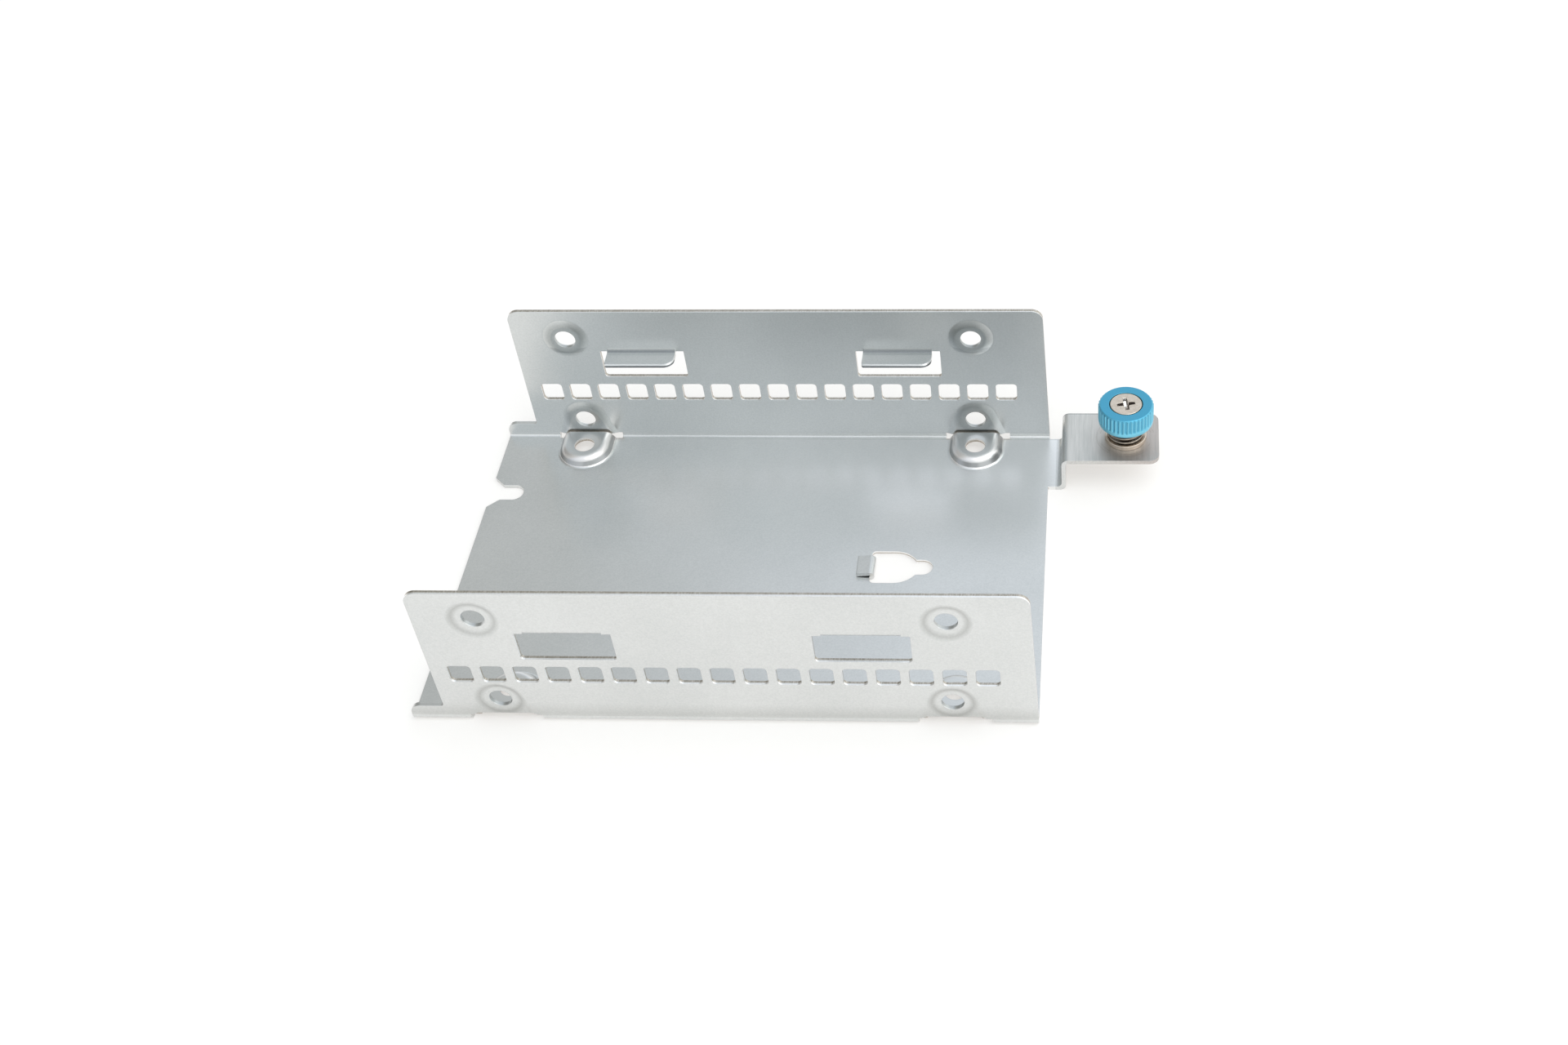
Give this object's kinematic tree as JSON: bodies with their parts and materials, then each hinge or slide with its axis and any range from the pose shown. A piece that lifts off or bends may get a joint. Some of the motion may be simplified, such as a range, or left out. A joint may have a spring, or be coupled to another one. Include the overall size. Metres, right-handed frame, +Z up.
{
  "type": "hard drive cage",
  "caption": "Open folded steel cage that holds small drives one above the other between drilled and vented side walls, with a raised ear and a sprung captive thumbscrew.",
  "frame": {"origin": "On the underside of the floor, at the centre of the floor's drive screw pattern, which is also the mid-plane between the walls.", "axes": "+X runs along the drives toward the raised ear and its thumbscrew, +Y toward the wall on the ear's side, +Z up from the floor."},
  "size_m": [0.128, 0.0724, 0.0318],
  "materials": {
    "galvanised_sheet": "zinc coated, matte",
    "nickel_ring": "nickel plated, satin",
    "blue_knob": "blue anodised, satin",
    "nickel_screw": "nickel plated, satin",
    "spring_wire": "nickel plated wire"
  },
  "bodies": {
    "cage": {"cage_bracket": "galvanised_sheet", "retainer": "nickel_ring"},
    "spring_follower": {"spring": "spring_wire"},
    "thumbscrew": {"knob": "blue_knob", "screw": "nickel_screw"}
  },
  "joints": [
    {"name": "screw_press", "type": "slide", "parent": "cage", "child": "spring_follower", "axis": [0, 0, -1], "range_m": [0, 0.0022], "stiffness_N_per_m": 300, "springref_m": -0.001, "deforming": ["spring"]},
    {"name": "screw_turn", "type": "hinge", "parent": "spring_follower", "child": "thumbscrew", "pos_m": [0.0673, 0.028, 0.0075], "axis": [0, 0, 1], "continuous": true}
  ]
}
